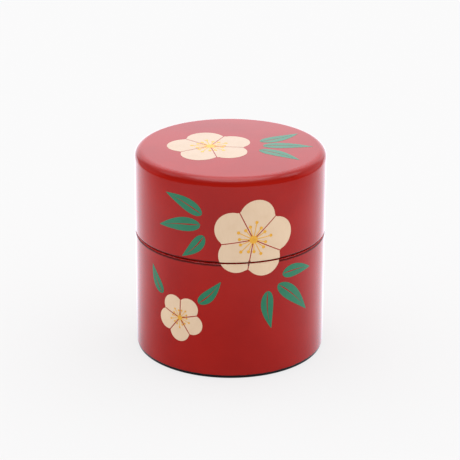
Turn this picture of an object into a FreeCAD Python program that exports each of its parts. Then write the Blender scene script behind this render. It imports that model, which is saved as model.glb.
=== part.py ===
import FreeCAD, Part
import math
import os

# Round lacquered tea caddy. The body has an inner tube that stands proud of the seam as a
# neck. The outer lid slides down over the neck, and an inner lid with a small knob closes
# its mouth. Everything but the slot of the screw is turned about the Z axis.
# Z = 0 is the table, and all sizes are millimetres.

# Overall
outer_diameter = 80.0        # both shells are turned flush to this size
overall_height = 88.0        # table to the middle of the lid's crown
seam_height = 51.2           # table to the shoulder where the body wall ends

# Lid
crown_rise = 0.5             # how far the middle of the lid stands above its rim
lid_top_thickness = 3.8      # rim to ceiling
rim_round = 3.6              # rounding between the lid's wall and its top
ceiling_round = 2.0          # hollow corner between the lid's bore and its ceiling
lining_thickness = 0.85      # thin sleeve glued inside the lid, which runs on the neck
lining_setback = 0.6         # lid lip to the lower end of the lining
lining_lead_in = 0.4         # bevel that starts the lining over the neck

# Seam between lid and body
seam_gap = 0.3               # body shoulder to lid lip with the lid on
seam_round = 0.9             # rounding on both sides of the seam groove

# Body
body_wall_thickness = 3.0
foot_edge_bevel = 0.25       # broken edge at the foot of the body wall
neck_thickness = 1.6         # inner tube, whose upper end is the neck
neck_rim_round = 0.7         # rounding on both edges of the neck's mouth
floor_thickness = 2.2        # disc that closes the inner tube

# Base
base_flange_thickness = 1.2  # the black line that shows under the body wall
base_flange_inset = 0.3      # how far that line stands back from the wall
base_edge_bevel = 0.4
base_plug_height = 2.5       # part of the base that is let into the body wall
foot_ring_width = 5.5        # ring that touches the table
foot_recess_depth = 0.6

# Inner lid
inner_lid_thickness = 3.0
inner_lid_setback = 0.4      # edge of the inner lid to the outside of the neck
inner_lid_edge_round = 0.9
inner_lid_seat_gap = 0.2     # neck rim to the underside of the inner lid
skirt_depth = 5.0            # ring under the inner lid that enters the neck
skirt_thickness = 2.2
skirt_corner_round = 1.2     # hollow corner inside the skirt
skirt_edge_bevel = 0.4       # lets the skirt find the mouth of the neck
dish_margin = 6.0            # edge of the inner lid to its shallow dished top
dish_depth = 0.6
dish_corner_round = 0.4

# Knob
knob_diameter = 14.0
knob_height = 6.0
knob_edge_height = 2.2       # height of the rounded edge of its head
knob_crown_rise = 0.7
knob_foot_diameter = 9.6
knob_waist_diameter = 7.0
knob_ceiling_gap = 1.0       # knob to the ceiling of the lid

# Countersunk screw that holds the knob from below
screw_diameter = 2.0
screw_head_diameter = 4.4
screw_tip_length = 1.0
screw_slot_width = 0.6
screw_slot_depth = 0.5
screw_cover = 1.8            # wood left above the screw inside the knob

# Fits
bond_gap = 0.05              # glue line round each sleeve and disc, on the radius
lid_clearance = 0.2          # lining to neck, on the radius
skirt_clearance = 0.25       # skirt to the mouth of the neck, on the radius
screw_clearance = 0.1        # screw to its holes

# Radii, from the outside inwards
outer_radius = outer_diameter / 2
body_bore_radius = outer_radius - body_wall_thickness
neck_radius = body_bore_radius - bond_gap
neck_bore_radius = neck_radius - neck_thickness
lining_bore_radius = neck_radius + lid_clearance
lining_radius = lining_bore_radius + lining_thickness
lid_bore_radius = lining_radius + bond_gap
inner_lid_radius = neck_radius - inner_lid_setback
skirt_radius = neck_bore_radius - skirt_clearance
skirt_bore_radius = skirt_radius - skirt_thickness
base_flange_radius = outer_radius - base_flange_inset
foot_recess_radius = base_flange_radius - foot_ring_width
screw_radius = screw_diameter / 2
screw_hole_radius = screw_radius + screw_clearance
screw_head_radius = screw_head_diameter / 2

# Heights of the body, up from the table
base_top = base_flange_thickness + base_plug_height
floor_top = base_top + floor_thickness
lip_height = seam_height + seam_gap

# Heights of the lids, down from the crown
rim_height = overall_height - crown_rise
ceiling_height = rim_height - lid_top_thickness
knob_top = ceiling_height - knob_ceiling_gap
dish_floor = knob_top - knob_height
inner_lid_top = dish_floor + dish_depth
inner_lid_underside = inner_lid_top - inner_lid_thickness
neck_top = inner_lid_underside - inner_lid_seat_gap

# Heights of the screw, which fills its countersink at 45 degrees
screw_seat = inner_lid_underside + screw_head_radius - screw_radius
screw_hole_top = knob_top - screw_cover
screw_tip = screw_hole_top - screw_clearance

AXIS_POINT = FreeCAD.Vector(0, 0, 0)
AXIS = FreeCAD.Vector(0, 0, 1)
SAME_PLACE = 1e-4            # how close an edge lies to the place where it is looked for
EDGE_SHARE = 0.45            # share of a wall that each of its two edges may lose


def at(place):
    """The point of a profile at a (radius, height) pair, in the plane turned about Z."""
    radius, height = place
    return FreeCAD.Vector(radius, 0, height)


def line(start, end):
    """A straight stretch of a profile."""
    return Part.makeLine(at(start), at(end))


def arc(start, through, end):
    """A round stretch of a profile."""
    return Part.Arc(at(start), at(through), at(end)).toShape()


def around(centre, radius, angle):
    """The point of a circle at an angle up from the horizontal."""
    return (centre[0] + radius * math.cos(angle), centre[1] + radius * math.sin(angle))


def dome_radius(radius, rise):
    """The radius of the sphere that rises so much over a disc."""
    return (radius ** 2 + rise ** 2) / (2 * rise)


def dome(edge_radius, sphere_radius, top):
    """A domed stretch of a profile, from its edge to the axis, on a sphere about the axis."""
    centre = (0, top - sphere_radius)
    edge_angle = math.acos(edge_radius / sphere_radius)
    middle_angle = (edge_angle + math.pi / 2) / 2
    edge = around(centre, sphere_radius, edge_angle)
    return arc(edge, around(centre, sphere_radius, middle_angle), (0, top))


def crowned_top(radius, rise, top, rim):
    """The height where a wall ends under a crowned top, and its rim and crown as arcs."""
    sphere_radius = dome_radius(radius, rise)
    sphere_height = top - sphere_radius
    inset = radius - rim
    wall_end = sphere_height + math.sqrt((sphere_radius - rim) ** 2 - inset ** 2)
    centre = (inset, wall_end)
    meeting_angle = math.atan2(wall_end - sphere_height, inset)
    meeting = around(centre, rim, meeting_angle)
    rim_arc = arc((radius, wall_end), around(centre, rim, meeting_angle / 2), meeting)
    return wall_end, [rim_arc, dome(meeting[0], sphere_radius, top)]


def outline(*corners):
    """Straight stretches that join the corners and close the profile."""
    ends = corners[1:] + corners[:1]
    return [line(start, end) for start, end in zip(corners, ends)]


def turned(stretches):
    """The solid that a closed profile sweeps when it is turned about Z."""
    face = Part.Face(Part.Wire(stretches))
    return face.revolve(AXIS_POINT, AXIS, 360)


def ring_edges(solid, place):
    """The circular edges of a turned solid at a (radius, height) pair."""
    radius, height = place
    found = []
    for edge in solid.Edges:
        if edge.Degenerated or not isinstance(edge.Curve, Part.Circle):
            continue
        off = abs(edge.Curve.Radius - radius) + abs(edge.Curve.Center.z - height)
        if off < SAME_PLACE:
            found.append(edge)
    return found


def rounded(solid, size, *places):
    """Rounds the circular edges at the given places."""
    edges = [edge for place in places for edge in ring_edges(solid, place)]
    return solid.makeFillet(size, edges)


def bevelled(solid, size, *places):
    """Bevels the circular edges at the given places."""
    edges = [edge for place in places for edge in ring_edges(solid, place)]
    return solid.makeChamfer(size, edges)


def fitting(size, wall):
    """A rounding or bevel that leaves room for its twin on the other edge of the wall."""
    return min(size, EDGE_SHARE * wall)


def make_base_disc():
    """Black base: a flange under the body wall, a plug inside it and a ring to stand on."""
    disc = turned(outline(
        (0, foot_recess_depth),
        (foot_recess_radius, foot_recess_depth),
        (foot_recess_radius, 0),
        (base_flange_radius, 0),
        (base_flange_radius, base_flange_thickness),
        (neck_radius, base_flange_thickness),
        (neck_radius, base_top),
        (0, base_top),
    ))
    edge_bevel = fitting(base_edge_bevel, base_flange_thickness)
    return bevelled(disc, edge_bevel, (base_flange_radius, 0))


def make_body_wall():
    """Outer wall of the body, from the base flange up to the shoulder at the seam."""
    wall = turned(outline(
        (body_bore_radius, base_flange_thickness),
        (outer_radius, base_flange_thickness),
        (outer_radius, seam_height),
        (body_bore_radius, seam_height),
    ))
    wall = rounded(wall, seam_round, (outer_radius, seam_height))
    return bevelled(wall, foot_edge_bevel, (outer_radius, base_flange_thickness))


def make_neck_sleeve():
    """Inner tube: it holds the tea, and above the shoulder it is the neck for the lid."""
    sleeve = turned(outline(
        (neck_bore_radius, base_top),
        (neck_radius, base_top),
        (neck_radius, neck_top),
        (neck_bore_radius, neck_top),
    ))
    edge_round = fitting(neck_rim_round, neck_thickness)
    return rounded(sleeve, edge_round, (neck_radius, neck_top), (neck_bore_radius, neck_top))


def make_floor_disc():
    """Disc let into the foot of the inner tube, on top of the base."""
    radius = neck_bore_radius - bond_gap
    return turned(outline((0, base_top), (radius, base_top), (radius, floor_top), (0, floor_top)))


def make_lid_shell():
    """Outer lid, turned hollow from one block, with a crowned top and a rounded rim."""
    wall_end, top = crowned_top(outer_radius, crown_rise, overall_height, rim_round)
    shell = turned([
        line((0, ceiling_height), (lid_bore_radius, ceiling_height)),
        line((lid_bore_radius, ceiling_height), (lid_bore_radius, lip_height)),
        line((lid_bore_radius, lip_height), (outer_radius, lip_height)),
        line((outer_radius, lip_height), (outer_radius, wall_end)),
        *top,
        line((0, overall_height), (0, ceiling_height)),
    ])
    shell = rounded(shell, seam_round, (outer_radius, lip_height))
    return rounded(shell, ceiling_round, (lid_bore_radius, ceiling_height))


def make_lid_lining():
    """Thin sleeve inside the lid that slides on the neck and keeps the air out."""
    lower_end = lip_height + lining_setback
    upper_end = ceiling_height - ceiling_round
    lead_in = fitting(lining_lead_in, lining_thickness)
    lining = turned(outline(
        (lining_bore_radius, lower_end),
        (lining_radius, lower_end),
        (lining_radius, upper_end),
        (lining_bore_radius, upper_end),
    ))
    return bevelled(lining, lead_in, (lining_bore_radius, lower_end))


def make_inner_lid():
    """Inner lid: a dished disc that closes the neck and a skirt that enters its mouth."""
    skirt_end = inner_lid_underside - skirt_depth
    dish_radius = inner_lid_radius - dish_margin
    lid = turned(outline(
        (screw_head_radius + screw_clearance, inner_lid_underside),
        (skirt_bore_radius, inner_lid_underside),
        (skirt_bore_radius, skirt_end),
        (skirt_radius, skirt_end),
        (skirt_radius, inner_lid_underside),
        (inner_lid_radius, inner_lid_underside),
        (inner_lid_radius, inner_lid_top),
        (dish_radius, inner_lid_top),
        (dish_radius, dish_floor),
        (screw_hole_radius, dish_floor),
        (screw_hole_radius, screw_seat),
    ))
    rim = fitting(inner_lid_edge_round, inner_lid_thickness)
    dish_corner = fitting(dish_corner_round, 2 * dish_depth)
    skirt_bevel = fitting(skirt_edge_bevel, skirt_thickness)
    lid = rounded(lid, rim, (inner_lid_radius, inner_lid_top))
    lid = rounded(lid, dish_corner, (dish_radius, dish_floor))
    lid = rounded(lid, skirt_corner_round, (skirt_bore_radius, inner_lid_underside))
    return bevelled(lid, skirt_bevel, (skirt_radius, skirt_end), (skirt_bore_radius, skirt_end))


def make_inner_lid_knob():
    """Turned knob: a flared foot, a waist for the fingertips and a low crowned head."""
    head_radius = knob_diameter / 2
    foot_radius = knob_foot_diameter / 2
    waist_radius = knob_waist_diameter / 2
    edge_round = knob_edge_height / 2
    crown_radius = head_radius - edge_round
    edge_top = knob_top - knob_crown_rise
    edge_bottom = edge_top - knob_edge_height
    edge_middle = edge_top - edge_round
    waist_height = (dish_floor + edge_bottom) / 2
    return turned([
        line((screw_hole_radius, dish_floor), (foot_radius, dish_floor)),
        arc((foot_radius, dish_floor), (waist_radius, waist_height), (foot_radius, edge_bottom)),
        line((foot_radius, edge_bottom), (crown_radius, edge_bottom)),
        arc((crown_radius, edge_bottom), (head_radius, edge_middle), (crown_radius, edge_top)),
        dome(crown_radius, dome_radius(crown_radius, knob_crown_rise), knob_top),
        line((0, knob_top), (0, screw_hole_top)),
        line((0, screw_hole_top), (screw_hole_radius, screw_hole_top)),
        line((screw_hole_radius, screw_hole_top), (screw_hole_radius, dish_floor)),
    ])


def make_knob_screw():
    """Slotted countersunk screw, up through the inner lid into the knob."""
    screw = turned(outline(
        (0, inner_lid_underside),
        (screw_head_radius, inner_lid_underside),
        (screw_radius, screw_seat),
        (screw_radius, screw_tip - screw_tip_length),
        (0, screw_tip),
    ))
    corner = FreeCAD.Vector(-screw_head_radius, -screw_slot_width / 2, inner_lid_underside)
    slot = Part.makeBox(screw_head_diameter, screw_slot_width, screw_slot_depth, corner)
    return screw.cut(slot)


PIECES = {
    "base_disc": make_base_disc,
    "body_wall": make_body_wall,
    "neck_sleeve": make_neck_sleeve,
    "floor_disc": make_floor_disc,
    "lid_shell": make_lid_shell,
    "lid_lining": make_lid_lining,
    "inner_lid": make_inner_lid,
    "inner_lid_knob": make_inner_lid_knob,
    "knob_screw": make_knob_screw,
}

os.makedirs("parts", exist_ok=True)
for name, make in PIECES.items():
    piece = make()
    piece.exportStep(os.path.join("parts", name + ".step"))
    print(name, "solids", len(piece.Solids), "valid", piece.isValid(), "volume", round(piece.Volume, 1))
print("neck above the shoulder", round(neck_top - seam_height, 2))
print("inside height", round(inner_lid_underside - floor_top, 2))
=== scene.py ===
"""Looks of a round lacquered tea caddy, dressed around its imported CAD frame.

Vermilion lacquer covers both shells and black lacquer everything inside them
and the foot. A plum blossom and bamboo leaf design is painted across the seam
and on the crown. All lengths are metres, Z is up, and the front faces -Y.
"""

import logging
import math
from collections.abc import Mapping, Sequence
from dataclasses import dataclass
from enum import Enum
from typing import NamedTuple

import bmesh
import bpy
from mathutils import Matrix, Vector
from mathutils.geometry import delaunay_2d_cdt


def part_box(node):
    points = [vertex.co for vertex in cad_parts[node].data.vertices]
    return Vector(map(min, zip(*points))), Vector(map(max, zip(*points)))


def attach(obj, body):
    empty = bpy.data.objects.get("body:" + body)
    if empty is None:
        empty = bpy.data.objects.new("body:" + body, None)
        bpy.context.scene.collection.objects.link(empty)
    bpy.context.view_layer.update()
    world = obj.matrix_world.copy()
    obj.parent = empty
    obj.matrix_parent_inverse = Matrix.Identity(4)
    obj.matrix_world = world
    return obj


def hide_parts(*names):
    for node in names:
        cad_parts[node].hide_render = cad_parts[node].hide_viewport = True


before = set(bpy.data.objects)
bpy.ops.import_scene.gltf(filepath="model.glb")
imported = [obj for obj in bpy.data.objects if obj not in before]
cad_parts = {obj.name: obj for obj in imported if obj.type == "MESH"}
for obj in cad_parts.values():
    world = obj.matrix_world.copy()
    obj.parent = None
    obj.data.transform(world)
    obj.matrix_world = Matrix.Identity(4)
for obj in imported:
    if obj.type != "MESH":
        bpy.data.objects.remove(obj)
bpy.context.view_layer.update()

LOG = logging.getLogger("tea_caddy")
MM = 0.001
MICRON = 1e-6

Point = tuple[float, float]
Colour = tuple[float, float, float, float]
Socket = bpy.types.NodeSocket
NodeTree = bpy.types.NodeTree
Piece = bpy.types.Object

PICTURE_WIDTH = 460           # pixels, the frame that the camera is fitted to
SENSOR_WIDTH = 36.0           # the camera's own millimetres

TURN_SEGMENTS = 256           # facets round every turned piece
ARC_STEP = math.radians(6)    # turn between two rings on a rounding
HOLDING_RING = 0.25 * MM      # ring beside a rounding that keeps its gloss off the flat
HOLDING_PARTS = 3             # on a short flat it lies at one part in so many instead
SHARP_ANGLE = math.radians(32)

GLUE_LINE = 0.05 * MM         # on the radius, between pieces that are glued
PLAY = 0.2 * MM               # on the radius, between the neck and the lid's sleeve
SCREW_PLAY = 0.1 * MM         # round the knob's screw
SCREW_BORE = 1.1 * MM         # radius of the hole for it
WOOD_EDGE = 0.15 * MM         # broken edge of turned wood
BORE_SLACK = 0.02 * MM        # reach of an inner finish beyond the bore's radius

MIX_A, MIX_B, MIX_RESULT = 6, 7, 2   # colour sockets of Blender's Mix node
WAVE_COUNT = 20 / (2 * math.pi)      # waves in one unit of its Wave texture at a scale of 1


# Small tools for colours, nodes and meshes

def srgb(code: str) -> Colour:
    """Turns an sRGB hex colour into linear light.

    Args:
        code: six hex digits, such as "A5120C".

    Returns:
        Linear red, green, blue and full alpha.
    """
    def linear(part: str) -> float:
        """Linear light of one two-digit channel."""
        share = int(part, 16) / 255
        return share / 12.92 if share <= 0.04045 else ((share + 0.055) / 1.055) ** 2.4

    return (linear(code[0:2]), linear(code[2:4]), linear(code[4:6]), 1.0)


def add(tree: NodeTree, kind: str, inputs: Mapping | Sequence = (), **settings) -> bpy.types.NodeOutputs:
    """Adds a node, sets its properties, and sets or links its inputs.

    Args:
        tree: the node tree that gets the node.
        kind: Blender's name of the node type.
        inputs: for each input, by name or in order, its value, another node's
            output, or a list of outputs that all go there.
        **settings: properties of the node itself.

    Returns:
        The new node's outputs.
    """
    node = tree.nodes.new(kind)
    for name, value in settings.items():
        setattr(node, name, value)
    for key, value in inputs.items() if isinstance(inputs, Mapping) else enumerate(inputs):
        for source in value if isinstance(value, list) else [value]:
            if isinstance(source, Socket):
                tree.links.new(source, node.inputs[key])
            else:
                node.inputs[key].default_value = source
    return node.outputs


def per_metre(size: float) -> float:
    """Texture scale that draws features of a real size in metres."""
    return 1.0 / size


def link_to_scene(name: str, mesh: bpy.types.Mesh) -> Piece:
    """Makes an object at the origin for a mesh and shows it.

    Args:
        name: the object's name.
        mesh: its mesh.

    Returns:
        The object.
    """
    piece = bpy.data.objects.new(name, mesh)
    bpy.context.scene.collection.objects.link(piece)
    return piece


def face_outwards(mesh: bpy.types.Mesh) -> None:
    """Turns every face of a closed mesh outwards.

    Args:
        mesh: the mesh, which is changed.
    """
    work = bmesh.new()
    work.from_mesh(mesh)
    bmesh.ops.recalc_face_normals(work, faces=work.faces)
    work.to_mesh(mesh)
    work.free()


def settle(piece: Piece, body: str, stands_for: Sequence[str] = ()) -> None:
    """Puts a finished piece on its CAD body and reports it.

    Args:
        piece: the object, with its place in its mesh.
        body: the CAD body that it moves with.
        stands_for: the CAD nodes that it is shown instead of.
    """
    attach(piece, body)
    if stands_for:
        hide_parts(*stands_for)
    LOG.info("%s: %d faces, rides on %s", piece.name, len(piece.data.polygons), body)


class Tree:
    """A Geometry Nodes tree with named inputs, which is run once to make a plain mesh."""

    def __init__(self, name: str, sockets: Mapping[str, str]) -> None:
        """Starts the tree.

        Args:
            name: the name of the tree.
            sockets: the type of each named input, such as Float.
        """
        self.group = bpy.data.node_groups.new(name, "GeometryNodeTree")
        make = self.group.interface.new_socket
        make(name="Geometry", in_out="INPUT", socket_type="NodeSocketGeometry")
        self.identifiers = {
            socket: make(name=socket, in_out="INPUT", socket_type="NodeSocket" + kind).identifier
            for socket, kind in sockets.items()
        }
        make(name="Geometry", in_out="OUTPUT", socket_type="NodeSocketGeometry")
        self.inputs = add(self.group, "NodeGroupInput")

    def dress(self, geometry: Socket, finish: Socket) -> Socket:
        """Realizes the instances and gives everything a material.

        Args:
            geometry: what the tree has made.
            finish: the socket with the material.

        Returns:
            The socket with the dressed geometry.
        """
        real = add(self.group, "GeometryNodeRealizeInstances", {"Geometry": geometry})[0]
        return add(self.group, "GeometryNodeSetMaterial", {"Geometry": real, "Material": finish})[0]

    def run(self, name: str, start: bpy.types.Mesh, values: Mapping[str, object]) -> Piece:
        """Runs the tree on a mesh and keeps the result as a plain mesh.

        Args:
            name: the name of the new piece.
            start: the mesh that the tree starts from.
            values: a value for each named input.

        Returns:
            The piece, with no modifier left on it.
        """
        piece = link_to_scene(name, start)
        modifier = piece.modifiers.new(self.group.name, "NODES")
        modifier.node_group = self.group
        for socket, value in values.items():
            modifier[self.identifiers[socket]] = value
        depsgraph = bpy.context.evaluated_depsgraph_get()
        plain = bpy.data.meshes.new_from_object(piece.evaluated_get(depsgraph))
        piece.modifiers.clear()
        piece.data = plain
        plain.name = name
        bpy.data.meshes.remove(start)
        return piece


# Finishes

# Hardened lacquer and the wax that it was polished with, both clear: dark and
# deep where seen straight on, and a mirror at a glancing angle
LACQUER_GLOSS = {
    "IOR": 1.5, "Specular IOR Level": 0.03, "Coat Weight": 1.0, "Coat IOR": 1.22, "Coat Roughness": 0.03,
}


@dataclass(frozen=True)
class Patches:
    """Uneven places of a surface, drawn as noise.

    Attributes:
        size: size of one patch.
        noise: noise at which they start, and at which they are full.
        values: what the pattern gives at these two.
        detail: octaves of the noise.
        crumble: how much the finer octaves show.
        stretch: scale along the height, below 1 for streaks that run up and down.
    """

    size: float
    noise: Point = (0.0, 1.0)
    values: Point = (0.0, 1.0)
    detail: float = 2.0
    crumble: float = 0.5
    stretch: float = 1.0

    def pattern(self, tree: NodeTree, place: Socket) -> Socket:
        """Draws the patches.

        Args:
            tree: the material's tree.
            place: the coordinates, in metres.

        Returns:
            The socket with the pattern's values.
        """
        if self.stretch != 1.0:
            place = add(tree, "ShaderNodeMapping", {"Vector": place, "Scale": (1.0, 1.0, self.stretch)})[0]
        noise = add(tree, "ShaderNodeTexNoise", {
            "Vector": place, "Scale": per_metre(self.size), "Detail": self.detail, "Roughness": self.crumble,
        })[0]
        return add(tree, "ShaderNodeMapRange", (noise, *self.noise, *self.values))[0]


class Finish:
    """A surface finish that builds its own node material once.

    Attributes:
        name: the material's name.
    """

    name: str

    def material(self) -> bpy.types.Material:
        """Gives the finish's material, which is built the first time.

        Returns:
            The material.
        """
        if self.name in bpy.data.materials:
            return bpy.data.materials[self.name]
        material = bpy.data.materials.new(self.name)
        material.use_nodes = True
        tree = material.node_tree
        tree.nodes.clear()
        place = add(tree, "ShaderNodeTexCoord")["Object"]
        add(tree, "ShaderNodeOutputMaterial", {"Surface": self._shader(tree, place)})
        return material

    def _shader(self, tree: NodeTree, place: Socket) -> Socket:
        """Builds the finish's own nodes.

        Args:
            tree: the material's tree.
            place: the object's coordinates, in metres.

        Returns:
            The shader's socket.
        """
        raise NotImplementedError

    @staticmethod
    def _layers(tree: NodeTree, ground: str, *layers: tuple[Socket, str]) -> Socket:
        """Lays colours over each other.

        Args:
            tree: the material's tree.
            ground: sRGB hex of the lowest.
            *layers: how much of each further one shows, and its sRGB hex.

        Returns:
            The socket with the mixed colour.
        """
        colour = srgb(ground)
        for share, code in layers:
            inputs = {0: share, MIX_A: colour, MIX_B: srgb(code)}
            colour = add(tree, "ShaderNodeMix", inputs, data_type="RGBA")[MIX_RESULT]
        return colour

    @staticmethod
    def _relief(tree: NodeTree, height: Socket, depth: float, values: Mapping[str, object],
                strength: float = 1.0) -> Socket:
        """A surface with a fine relief.

        Args:
            tree: the material's tree.
            height: the relief's pattern, from 0 to 1.
            depth: what 1 stands for, in metres.
            values: a value for each of the surface's other inputs.
            strength: how much of the relief shows.

        Returns:
            The shader's socket.
        """
        normal = add(tree, "ShaderNodeBump", {"Height": height, "Distance": depth, "Strength": strength})[0]
        return add(tree, "ShaderNodeBsdfPrincipled", {"Normal": normal, **values})[0]


@dataclass(frozen=True)
class WearAndShadeRing:
    """A ring where the coat under the top coat shows: at edges rubbed thin, and as a soft band of painted
    shade.

    Attributes:
        low: height of its lower edge.
        high: height of its upper edge.
        strength: how much of the undercoat shows.
        softness: how far its edges fade.
    """

    low: float
    high: float
    strength: float
    softness: float = 0.12 * MM


@dataclass(frozen=True)
class RubbedLacquer(Finish):
    """Coloured lacquer, ground with charcoal between coats and rubbed to a mirror.

    It gives the eye a deep even colour under a wet gloss. Close to, there are
    faint clouds of pigment, the soft waves that hand rubbing leaves in the
    reflections, and thin lines at the edges where the undercoat shows. The same
    rings of undercoat also lay soft bands of painted shade.

    Attributes:
        name: the material's name.
        colour: sRGB hex of the top coat.
        cloud: sRGB hex of its darker clouds.
        undercoat: sRGB hex of the coat under it.
        lines: rings where the undercoat shows, at worn edges and as painted shade.
    """

    name: str
    colour: str
    cloud: str
    undercoat: str
    lines: tuple[WearAndShadeRing, ...] = ()

    # Pigment drifts while the coat dries in the damp cupboard
    CLOUDS = Patches(17 * MM, (0.35, 0.7), (0.0, 0.8), detail=3.0)
    # Pigment grain, really 0.01 mm, drawn coarser to show at all
    FLECKS = Patches(0.45 * MM, (0.5, 0.8), (0.0, 0.35), detail=1.0)
    # Roughness where the coat is well rubbed, and where fingertips have dulled it
    SMUDGES = Patches(13 * MM, (0.35, 0.75), (0.03, 0.07), detail=4.0, crumble=0.6)
    # Strokes of the rubbing charcoal under a fingertip, and their depth
    WAVES = Patches(6 * MM, detail=1.0)
    WAVE_DEPTH = 1.6 * MICRON
    # How far each ring of wear and of painted shade strays up and down
    WANDER = Patches(2.2 * MM, (0.3, 0.7), (-0.11 * MM, 0.11 * MM))

    def _shader(self, tree: NodeTree, place: Socket) -> Socket:
        """Builds the coloured, rubbed coat.

        Args:
            tree: the material's tree.
            place: the object's coordinates, in metres.

        Returns:
            The shader's socket.
        """
        dark = [patches.pattern(tree, place) for patches in (self.CLOUDS, self.FLECKS)]
        share = add(tree, "ShaderNodeMath", dark, operation="MAXIMUM")[0]
        # Rings of undercoat: worn edges, and soft bands of painted shade
        thin = [(self._undercoat_share(tree, place, line), self.undercoat) for line in self.lines]
        return self._relief(tree, self.WAVES.pattern(tree, place), self.WAVE_DEPTH, {
            "Base Color": self._layers(tree, self.colour, (share, self.cloud), *thin),
            "Roughness": self.SMUDGES.pattern(tree, place), **LACQUER_GLOSS,
        })

    def _undercoat_share(self, tree: NodeTree, place: Socket, line: WearAndShadeRing) -> Socket:
        """How much of the undercoat shows at one ring, a worn edge or a band of painted shade.

        Args:
            tree: the material's tree.
            place: the object's coordinates, in metres.
            line: the ring of undercoat.

        Returns:
            The socket with its share, 0 away from the line.
        """
        height = add(tree, "ShaderNodeSeparateXYZ", (place,))["Z"]
        wander = self.WANDER.pattern(tree, place)
        strayed = add(tree, "ShaderNodeMath", (height, wander), operation="ADD")[0]
        edges = (
            (line.low - line.softness, line.low, 0.0, line.strength),
            (line.high, line.high + line.softness, 1.0, 0.0),
        )
        fades = [
            add(tree, "ShaderNodeMapRange", (strayed, *edge), interpolation_type="SMOOTHSTEP")[0]
            for edge in edges
        ]
        return add(tree, "ShaderNodeMath", fades, operation="MULTIPLY")[0]


@dataclass(frozen=True)
class TurnedLacquer(Finish):
    """Black lacquer wiped thin over turned wood, as it is inside a caddy.

    It gives the eye a satin black in which the last cuts of the turning tool
    still show as soft rings, dulled where lid and neck slide on each other.

    Attributes:
        name: the material's name.
        colour: sRGB hex of the coat.
        worn: sRGB hex where sliding has thinned it.
    """

    name: str
    colour: str
    worn: str

    # Thinned streaks, which run with the sliding
    STREAKS = Patches(5 * MM / 6, (0.55, 0.8), (0.0, 0.5), detail=3.0, crumble=0.65, stretch=0.12)
    # Roughness of the satin, and of its dulled places
    DULLING = Patches(5 * MM, (0.3, 0.7), (0.2, 0.34), detail=3.0)
    # Rings of the turning tool, really 0.5 mm apart, drawn coarser to show, and their depth
    RING_SIZE = 3.142 * MM
    RING_DEPTH = 1.5 * MICRON
    RING_WANDER = 0.4
    SHEEN = {"IOR": 1.5, "Specular IOR Level": 0.25}

    def _shader(self, tree: NodeTree, place: Socket) -> Socket:
        """Builds the wiped, ringed coat.

        Args:
            tree: the material's tree.
            place: the object's coordinates, in metres.

        Returns:
            The shader's socket.
        """
        rings = add(tree, "ShaderNodeTexWave", {
            "Vector": place, "Scale": per_metre(self.RING_SIZE) / WAVE_COUNT,
            "Distortion": self.RING_WANDER, "Detail": 1.0,
        }, wave_type="BANDS", bands_direction="Z")["Fac"]
        worn = self.STREAKS.pattern(tree, place)
        return self._relief(tree, rings, self.RING_DEPTH, {
            "Base Color": self._layers(tree, self.colour, (worn, self.worn)),
            "Roughness": self.DULLING.pattern(tree, place), **self.SHEEN,
        })


@dataclass(frozen=True)
class LacquerPaint(Finish):
    """Pigment ground into lacquer, printed or brushed on and sealed with a clear coat.

    It gives the eye a flat even colour with the same gloss as the ground, a
    little thinner in places, with fine brush streaks along the strokes.

    Attributes:
        name: the material's name.
        colour: sRGB hex of the full coat.
        thin: sRGB hex where the coat is thin and the ground tints it.
    """

    name: str
    colour: str
    thin: str

    THIN_PLACES = Patches(5 * MM, (0.45, 0.75), (0.0, 0.5), detail=3.0)
    # Hairs of the brush, really 0.1 mm, drawn coarser to show, and the depth of their tracks
    STREAKS = Patches(0.5 * MM, (0.45, 0.8), (0.0, 0.35), detail=1.0, stretch=0.15)
    STREAK_DEPTH = 2.0 * MICRON
    ROUGHNESS = 0.09

    def _shader(self, tree: NodeTree, place: Socket) -> Socket:
        """Builds the coat of paint.

        Args:
            tree: the material's tree.
            place: the object's coordinates, in metres.

        Returns:
            The shader's socket.
        """
        streaks = self.STREAKS.pattern(tree, place)
        patches = self.THIN_PLACES.pattern(tree, place)
        share = add(tree, "ShaderNodeMath", (patches, streaks), operation="MAXIMUM")[0]
        return self._relief(tree, streaks, self.STREAK_DEPTH, {
            "Base Color": self._layers(tree, self.colour, (share, self.thin)),
            "Roughness": self.ROUGHNESS, **LACQUER_GLOSS,
        })


@dataclass(frozen=True)
class GoldPowder(Finish):
    """Gold powder dusted on to wet lacquer lines.

    It gives the eye a warm matt gold, grainy close to, in which single grains
    turn light or dark with the angle.

    Attributes:
        name: the material's name.
        colour: sRGB hex of the powder.
        gap: sRGB hex of the lacquer between the grains.
    """

    name: str
    colour: str
    gap: str

    GRAIN_SIZE = 0.16 * MM       # powder is 0.03 mm, drawn coarser to show
    GRAIN_DEPTH = 8.0 * MICRON
    GRAIN_STRENGTH = 0.6
    GAP_START, GAP_FULL = 0.35, 0.75     # from a grain's middle, in grains
    GAP_SHARE = 0.6
    SHEEN = {"Metallic": 0.35, "Roughness": 0.42}

    def _shader(self, tree: NodeTree, place: Socket) -> Socket:
        """Builds the dusted powder.

        Args:
            tree: the material's tree.
            place: the object's coordinates, in metres.

        Returns:
            The shader's socket.
        """
        inputs = {"Vector": place, "Scale": per_metre(self.GRAIN_SIZE)}
        distance = add(tree, "ShaderNodeTexVoronoi", inputs)["Distance"]
        edges = (distance, self.GAP_START, self.GAP_FULL, 0.0, self.GAP_SHARE)
        gaps = add(tree, "ShaderNodeMapRange", edges)[0]
        values = {"Base Color": self._layers(tree, self.colour, (gaps, self.gap)), **self.SHEEN}
        return self._relief(tree, distance, self.GRAIN_DEPTH, values, self.GRAIN_STRENGTH)


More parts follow.
